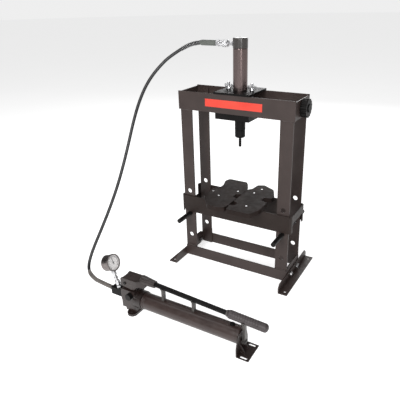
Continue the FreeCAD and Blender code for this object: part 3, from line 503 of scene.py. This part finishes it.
DOWELS_LEFT = [(-0.085, -0.053), (-0.132, -0.020), (-0.030, 0.025)]
DOWELS_RIGHT = [(0.056, 0.094), (0.042, 0.042), (0.070, -0.096)]
PLATES = ["head_front_plate", "head_rear_plate", "head_left_plate", "head_right_plate", "base_front_rail",
          "base_rear_rail", "side_plate_left", "side_plate_right", "foot_angle_left", "foot_angle_right",
          "bed_front_plate", "bed_rear_plate", "bed_left_end", "bed_right_end"]


def make_frame():
    for row in ("front", "rear"):
        for side in ("left", "right"):
            refined(f"upright_{row}_{side}", FRAME_PAINT, 0.8)
    for node in PLATES:
        refined(node, BED_PAINT if node.startswith("bed") else FRAME_PAINT, 0.8)
    refined("end_knob", BLACK_PAINT, 1.4)
    for side in ("left", "right"):
        refined(f"support_pin_{side}", BLACK_STEEL, 0.5)
        refined(f"arbor_plate_{side}", ARBOR_PAINT, 1.6)
    make_dowels()


def make_dowels():
    """Bright locating dowels driven into the arbor plates, a hair below the top face."""
    for side, places in (("left", DOWELS_LEFT), ("right", DOWELS_RIGHT)):
        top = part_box(f"arbor_plate_{side}")[1].z
        pins = []
        for x, y in places:
            pins.append(turned(eased([(0, 0), (0, 4.9), (11.0, 4.9), (11.8, 4.0), (11.8, 0)], 0.4),
                               Vector((x, y, top - 0.012)), Z, 32))
        piece(f"arbor_dowels_{side}", joined(*pins), BRIGHT_STEEL, f"arbor_{side}", ())


def weld(name, start, end, facing, body):
    """A bead with the ripples of its passes, laid in an inside corner."""
    count = int((end - start).length / 0.0008)
    points = [start.lerp(end, step / count) for step in range(count + 1)]

    def bead(share):
        wave = 0.25 * abs(math.sin(share * count * 0.42))
        wave += 0.15 * noise.noise(Vector((share * 40, start.x, 0)))
        tail = min(1, share * 14 + 0.25, (1 - share) * 14 + 0.25)
        return (2.6 + wave) * tail * MM

    bm = tube_mesh([point + facing * 0.4 * MM for point in points], bead, 12)
    return piece(name, bm, WELD_METAL, body, (), sharp=70)


def make_welds():
    """Fillets where the uprights meet the long plates of the head and the base."""
    for side_name in ("left", "right"):
        for row_name in ("front", "rear"):
            low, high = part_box(f"upright_{row_name}_{side_name}")
            outside = low.y if row_name == "front" else high.y
            outward = -Y if row_name == "front" else Y
            rail_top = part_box(f"base_{row_name}_rail")[1].z
            head_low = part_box(f"head_{row_name}_plate")[0].z
            for level_name, level, up in (("rail", rail_top, 1), ("head", head_low, -1)):
                weld(f"weld_{level_name}_{row_name}_{side_name}", Vector((low.x + 0.004, outside, level)),
                     Vector((high.x - 0.004, outside, level)), (outward + Z * up) * 0.7, "frame")
    for side_name, edge in (("left", -1), ("right", 1)):
        for row_name, row in (("front", -1), ("rear", 1)):
            low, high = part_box(f"head_{side_name}_plate")
            inside = high.x if edge < 0 else low.x
            depth = low.y if row < 0 else high.y
            weld(f"weld_corner_{row_name}_{side_name}", Vector((inside, depth, low.z + 0.006)),
                 Vector((inside, depth, high.z - 0.004)), Vector((-edge, -row, 0)) * 0.7, "frame")


def make_red_band():
    """A plain painted bar on the front of the head."""
    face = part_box("head_front_plate")[0].y
    bar = box_mesh(Vector((-0.128, face - 0.0003, 0.727)), Vector((0.123, face + 0.0005, 0.758)), 0.1)
    piece("red_band", bar, RED_ENAMEL, "frame", ())


def make_foot_bolts():
    low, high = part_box("foot_bolts")
    bolts, washers = [], []
    level = (low.z + high.z) / 2
    for side in (-1, 1):
        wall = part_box("foot_angle_right")[0].x + 0.005
        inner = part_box("side_plate_right")[0].x
        for end in (-1, 1):
            y = end * 0.038
            outer = Vector((side * wall, y, level))
            away = X * side
            washer = eased([(0, 6.2), (0, 12), (2.5, 12), (2.5, 6.2), (0, 6.2)], 0.4)
            washers.append(turned(washer, outer, away))
            bolts.append(hexagon(19, 7.5, outer + away * 2.5 * MM, away, 0.3 * end))
            nut = Vector((side * inner, y, level))
            bolts.append(hexagon(19, 10, nut, -away, 0.2))
            thread = [(0, 0), (0, 5.9)]
            for step in range(12):
                thread += [(7.5 + step * 1.25, 5.5), (8.1 + step * 1.25, 6)]
            thread += [(23, 5.4), (23, 0)]
            bolts.append(turned(thread, outer, -away, 40))
    piece("foot_bolt_heads", joined(*bolts), BRIGHT_STEEL, "frame", ("foot_bolts",))
    piece("foot_bolt_washers", joined(*washers), DARK_WASHER, "frame", ())


# ---------------------------------------------------------------- carriage and cylinder

def make_carriage():
    refined("carriage_top_plate", BLACK_PAINT, 0.9)
    refined("carriage_bottom_plate", BLACK_PAINT, 1.2)
    low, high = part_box("clamp_studs")
    studs = []
    for x in (low.x + 0.006, high.x - 0.006):
        thread = [(0, 0), (0, 5.2), (0.8, 6)]
        for step in range(int((high.z - low.z) / MM / 1.5) - 1):
            thread += [(1.2 + step * 1.5, 5.35), (1.9 + step * 1.5, 6)]
        thread += [((high.z - low.z) / MM, 5.2), ((high.z - low.z) / MM, 0)]
        studs.append(turned(thread, Vector((x, 0, low.z)), Z, 40))
    piece("clamp_stud_threads", joined(*studs), BRIGHT_STEEL, "carriage", ("clamp_studs",))
    for side in ("left", "right"):
        make_wing_nut(side)


def make_wing_nut(side):
    """A cast wing nut: a tapered boss and two rounded ears that lean outward."""
    node = f"wing_nut_{side}"
    middle = centre(node)
    base = Vector((middle.x, middle.y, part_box(node)[0].z))
    boss = turned(eased([(0, 6.05), (0, 9.3), (3, 9.3), (12, 7.6), (12, 6.05), (0, 6.05)], 0.8), base, Z, 48)
    pieces = [boss]
    for way in (-1, 1):
        low_corner = base + Vector((-4.4, -1.9, 7.2)) * MM
        high_corner = base + Vector((4.4, 1.9, 21.6)) * MM
        ear = box_mesh(low_corner, high_corner, 1.7)
        lean = Matrix.Rotation(way * math.radians(15), 3, "Y")
        bmesh.ops.rotate(ear, cent=base + Vector((0, 0, 7)) * MM, matrix=lean, verts=ear.verts)
        bmesh.ops.translate(ear, vec=X * (way * 11 * MM), verts=ear.verts)
        pieces.append(ear)
    piece(f"wing_nut_{side}_cast", joined(*pieces), BRIGHT_STEEL, f"wing_{side}", (node,),
          sharp=45)


def make_cylinder():
    low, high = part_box("cylinder_barrel")
    middle = centre("cylinder_barrel")
    base = Vector((middle.x, 0, low.z))
    tall = (high.z - low.z) / MM
    barrel = [(0, 15.06), (0, 28), (1, 29), (tall - 3, 29), (tall - 2, 28.3), (tall, 28.3), (tall, 22),
              (tall - 8, 22), (16, 22), (16, 15.06), (0, 15.06)]
    piece("barrel_turned", turned(eased(barrel, 0.5), base, Z, 96), BARREL_PAINT, "carriage",
          ("cylinder_barrel",))
    low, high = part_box("cylinder_cap")
    tall = (high.z - low.z) / MM
    cap = [(0, 0), (0, 28.6), (0.8, 29.5), (tall - 4.5, 29.5), (tall - 2, 27.5), (tall - 1.2, 24),
           (tall - 0.6, 14), (tall - 0.6, 6), (tall, 5), (tall, 0)]
    piece("cap_turned", turned(eased(cap, 1.0), Vector((middle.x, 0, low.z)), Z, 96), CAP_PAINT, "carriage",
          ("cylinder_cap",))
    low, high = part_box("cylinder_gland")
    tall = (high.z - low.z) / MM
    gland = [(0, 15.06), (0, 20.6), (1.4, 22), (10, 22), (10.5, 21.2), (12.5, 21.2), (13, 22), (tall, 22),
             (tall, 15.06), (0, 15.06)]
    piece("gland_turned", turned(eased(gland, 0.4), Vector((middle.x, 0, low.z)), Z, 72), BLACK_PAINT,
          "carriage", ("cylinder_gland",))
    refined("ram_plunger", CHROME_ROD, 0.6)
    low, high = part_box("ram_head")
    tall = (high.z - low.z) / MM
    ram = [(0, 0), (0, 17.4), (4, 21.5), (9, 21.5), (9.6, 21), (11, 21), (11.6, 21.5), (tall - 1, 21.5),
           (tall, 20.5), (tall, 0)]
    piece("ram_head_turned", turned(eased(ram, 0.5), Vector((middle.x, 0, low.z)), Z, 72), BLACK_PAINT, "ram",
          ("ram_head",))
    low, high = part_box("ram_tip")
    tall = (high.z - low.z) / MM
    tip = [(0, 0), (0, 5), (1, 6), (tall - 8, 6), (tall - 7, 5.4), (tall, 5.4), (tall, 0)]
    piece("ram_tip_turned", turned(eased(tip, 0.3), Vector((middle.x, 0, low.z)), Z, 40), BLACK_PAINT, "ram",
          ("ram_tip",))
    low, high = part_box("return_spring")
    coil = helix_along([Vector((middle.x, 0, low.z + 0.0015)), Vector((middle.x, 0, (low.z + high.z) / 2)),
                        Vector((middle.x, 0, high.z - 0.0015))], 0.0185, 0.013, 20)
    spring = piece("return_spring_coil", tube_mesh(coil, 0.0014, 8), SPRING_STEEL, None, ("return_spring",),
                   sharp=60)
    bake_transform(spring)


# ---------------------------------------------------------------- hand pump

def make_pump():
    refined("pump_head", CAST_PAINT, 3.0, corner=40)
    refined("pump_lever", CAST_PAINT, 2.0, corner=40)
    refined("pump_plunger", BRIGHT_STEEL, 0.5)
    refined("lever_pivot_pin", BLACK_STEEL, 0.8)
    refined("pump_rear_bracket", CAST_PAINT, 0.8)
    refined("handle_clips", CLIP_STEEL, 0.4)
    refined("release_valve", BLACK_STEEL, 0.7)
    refined("handle_tube", BLACK_PAINT, 0.5)
    refined("filler_cap", BLACK_PAINT, 0.8)
    refined("gauge_block", BLACK_PAINT, 1.4)
    low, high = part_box("oil_tank")
    middle = centre("oil_tank")
    start = Vector((low.x, middle.y, middle.z))
    long = (high.x - low.x) / MM
    shell = [(0, 0), (0, 30.4), (1.6, 32), (13, 32), (13.6, 31.5), (15, 31.5), (15.6, 32),
             (long - 16, 32), (long - 15.4, 31.5), (long - 14, 31.5), (long - 13.4, 32), (long - 1.6, 32),
             (long, 30.4), (long, 0)]
    piece("tank_shell", turned(eased(shell, 0.6), start, X, 128), TANK_PAINT, "frame", ("oil_tank",))
    start = Vector((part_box("tank_collar")[0].x, middle.y, middle.z))
    collar = [(0, 32), (0, 32.6), (1.0, 33.5), (3.6, 33.5), (4.1, 33), (5, 33), (5.5, 33.5), (8, 33.5),
              (9, 32.6), (9, 32), (0, 32)]
    piece("collar_turned", turned(eased(collar, 0.3), start, X, 128), TANK_PAINT, "frame", ("tank_collar",))


def make_grip():
    """The moulded grip: a bright end ring, shallow finger rings and a domed end."""
    tube_low, tube_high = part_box("handle_tube")
    low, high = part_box("handle_grip")
    pivot_y = (low.y + high.y) / 2
    start_low = Vector((tube_low.x + 0.0005, pivot_y, tube_high.z - 0.009))
    end_high = Vector((tube_high.x - 0.0005, pivot_y, tube_low.z + 0.009))
    heading = (end_high - start_low).normalized()
    radius = (high.y - low.y) / 2 / MM
    far = Vector((high.x - 0.0003, pivot_y, low.z + radius * MM))
    length = 148
    start = far - heading * (length * MM)
    outline = [(0, 9.05), (0, radius - 4), (2, radius - 1.2), (6, radius)]
    for step in range(1, 12):
        outline += [(6 + step * 9.5, radius), (8 + step * 9.5, radius - 0.9), (10 + step * 9.5, radius)]
    outline += [(length - 12, radius)]
    for step in range(1, 7):
        angle = step / 6 * math.pi / 2
        outline += [(length - 12 + 12 * math.sin(angle), 2 + (radius - 2) * math.cos(angle))]
    outline += [(length, 0)]
    piece("grip_moulded", turned(eased(outline, 0.8), start, heading, 64), GRIP_PLASTIC, "lever",
          ("handle_grip",), sharp=50)
    ring = turned(eased([(0, 9.05), (0, 11), (1, 12), (6, 12), (7, 11), (7, 9.05), (0, 9.05)], 0.4),
                  start - heading * 0.0072, heading, 64)
    piece("grip_end_ring", ring, CLIP_STEEL, "lever", ())


GAUGE_LEAN = math.radians(19)
GAUGE_FACING = Vector((math.cos(GAUGE_LEAN), 0, math.sin(GAUGE_LEAN)))
GAUGE_RISING = Vector((-math.sin(GAUGE_LEAN), 0, math.cos(GAUGE_LEAN)))
STEM_FOOT = Vector((-0.276, -0.525, 0.084))
STEM_REACH = 106
SCALE_MARKS, SCALE_START, SCALE_STEP = 51, 135, 5.4


def make_gauge():
    """A pressure gauge on a leaning stem; places along its axis are in millimetres ahead of the stem."""
    middle = STEM_FOOT + GAUGE_RISING * (STEM_REACH * MM)
    back = -GAUGE_FACING

    def ahead(distance):
        return middle + GAUGE_FACING * (distance * MM)

    case = [(6.4, 0), (6.4, 30), (0.6, 30), (0, 30.6), (0, 33), (1, 34), (7, 34), (8, 33), (8.6, 32),
            (38, 32), (40, 30), (40, 0)]
    piece("gauge_case_turned", turned(eased(case, 0.5), ahead(22), back, 96), GAUGE_STEEL, "frame",
          ("gauge_case",))
    face = ahead(16)
    piece("gauge_dial_plate", turned([(0, 1.6), (0, 29.9), (1, 29.9), (1, 1.6), (0, 1.6)], face, back, 96),
          DIAL_WHITE, "frame", ("gauge_dial",))
    marks = []
    for step in range(SCALE_MARKS):
        angle = math.radians(SCALE_START - step * SCALE_STEP)
        main = step % 5 == 0
        outward = GAUGE_RISING * math.cos(angle) + Y * math.sin(angle)
        along = Y * math.cos(angle) - GAUGE_RISING * math.sin(angle)
        wide = (0.6 if main else 0.32) * MM
        inner, outer = (20.5 if main else 23.5) * MM, 27.5 * MM
        corners = [face + outward * reach + along * side for reach, side in
                   ((inner, -wide), (inner, wide), (outer, wide), (outer, -wide))]
        bm = bmesh.new()
        floor = [bm.verts.new(corner) for corner in corners]
        top = [bm.verts.new(corner + GAUGE_FACING * 0.0002) for corner in corners]
        bm.faces.new(floor)
        bm.faces.new(top)
        for number in range(4):
            after = (number + 1) % 4
            bm.faces.new((floor[number], floor[after], top[after], top[number]))
        marks.append(bm)
    piece("gauge_scale", joined(*marks), INK, "frame", ())
    refined("gauge_needle", INK, 0.15)
    lens = turned([(0, 0), (0, 30), (1.4, 30), (1.4, 0)], ahead(20.2), GAUGE_FACING, 96)
    piece("gauge_window", lens, GAUGE_GLASS, "frame", ())
    tall = STEM_REACH - 35
    swivel = eased([(0, 0), (0, 7), (29, 7), (30, 6.2), (34, 6.2), (35, 8.6), (42, 8.6), (43, 6.6),
                    (tall, 6.6), (tall, 0)], 0.4)
    nut = tall - 16
    stem = joined(hexagon(21.6, 11.5, STEM_FOOT, Z),
                  hexagon(18.6, 15.5, STEM_FOOT + GAUGE_RISING * 14 * MM, GAUGE_RISING),
                  hexagon(17.6, 13.5, STEM_FOOT + GAUGE_RISING * nut * MM, GAUGE_RISING),
                  turned(swivel, STEM_FOOT + GAUGE_RISING * 3 * MM, GAUGE_RISING, 48))
    piece("gauge_stem_turned", stem, BRIGHT_STEEL, "frame", ("gauge_stem",))


# ---------------------------------------------------------------- stage, light and camera

PAPER_GLOW = 0.68
WORLD_LIGHT, WORLD_SEEN = 0.17, 0.86


def make_stage():
    """White paper, and a background that is brighter to the camera than it is as a light."""
    bm = bmesh.new()
    bmesh.ops.create_circle(bm, cap_ends=True, radius=30, segments=96)
    mesh = bpy.data.meshes.new("floor")
    bm.to_mesh(mesh)
    bm.free()
    floor = bpy.data.objects.new("floor", mesh)
    bpy.context.scene.collection.objects.link(floor)
    paper = surface("floor_paper", (0.84, 0.84, 0.84), (0.86, 0.86, 0.86), (0.8, 0.9), patch=2, bump=0.01,
                    specular=0.1)
    paper.node_tree.nodes["Principled BSDF"].inputs["Emission Color"].default_value = (1, 1, 1, 1)
    paper.node_tree.nodes["Principled BSDF"].inputs["Emission Strength"].default_value = PAPER_GLOW
    mesh.materials.append(paper)
    world = bpy.data.worlds.new("studio")
    world.use_nodes = True
    tree = world.node_tree
    soft = tree.nodes["Background"]
    soft.inputs["Color"].default_value = (1, 1, 1, 1)
    soft.inputs["Strength"].default_value = WORLD_LIGHT
    seen = tree.nodes.new("ShaderNodeBackground")
    seen.inputs["Strength"].default_value = WORLD_SEEN
    seen.inputs["Color"].default_value = (1, 1, 1, 1)
    path = tree.nodes.new("ShaderNodeLightPath")
    mixed = tree.nodes.new("ShaderNodeMixShader")
    tree.links.new(path.outputs["Is Camera Ray"], mixed.inputs["Fac"])
    tree.links.new(soft.outputs["Background"], mixed.inputs[1])
    tree.links.new(seen.outputs["Background"], mixed.inputs[2])
    tree.links.new(mixed.outputs["Shader"], tree.nodes["World Output"].inputs["Surface"])
    bpy.context.scene.world = world
    bpy.context.scene.view_settings.view_transform = "Standard"


def add_light(name, place, target, size, power):
    data = bpy.data.lights.new(name, "AREA")
    data.shape = "RECTANGLE"
    data.size, data.size_y = size
    data.energy = power
    lamp = bpy.data.objects.new(name, data)
    lamp.location = place
    lamp.rotation_euler = (Vector(target) - Vector(place)).to_track_quat("-Z", "Y").to_euler()
    bpy.context.scene.collection.objects.link(lamp)


def make_lights():
    add_light("key", (0.2, -3.4, 2.2), (0, -0.1, 0.4), (0.9, 1.8), 88)
    add_light("strip", (2.2, -2.6, 1.5), (0, -0.1, 0.6), (0.25, 1.9), 30)
    add_light("overhead", (-0.8, -0.2, 3.4), (0, -0.2, 0.3), (2.6, 2.6), 40)
    add_light("rim", (-0.6, 2.8, 1.8), (0, 0, 0.6), (2.0, 1.2), 26)


def add_camera():
    """The camera, placed by its turn, tilt and roll in degrees."""
    turn, tilt, roll = (math.radians(angle) for angle in (29.80, -22.94, -1.06))
    forward = Vector((-math.sin(turn) * math.cos(tilt), math.cos(turn) * math.cos(tilt), math.sin(tilt)))
    level = Vector((math.cos(turn), math.sin(turn), 0))
    upward = level.cross(forward)
    right = level * math.cos(roll) + upward * math.sin(roll)
    top = upward * math.cos(roll) - level * math.sin(roll)
    data = bpy.data.cameras.new("camera")
    data.sensor_width = 36
    data.lens = 40.89
    data.shift_x = -0.0409
    data.shift_y = -0.0305
    camera = bpy.data.objects.new("camera", data)
    bpy.context.scene.collection.objects.link(camera)
    axes = Matrix((right, top, -forward)).transposed().to_4x4()
    camera.matrix_world = Matrix.Translation((0.8114, -1.6379, 1.1383)) @ axes
    bpy.context.scene.camera = camera


add_camera()
make_hose()
make_couplers()
make_frame()
make_welds()
make_red_band()
make_foot_bolts()
make_carriage()
make_cylinder()
make_pump()
make_grip()
make_gauge()
make_stage()
make_lights()
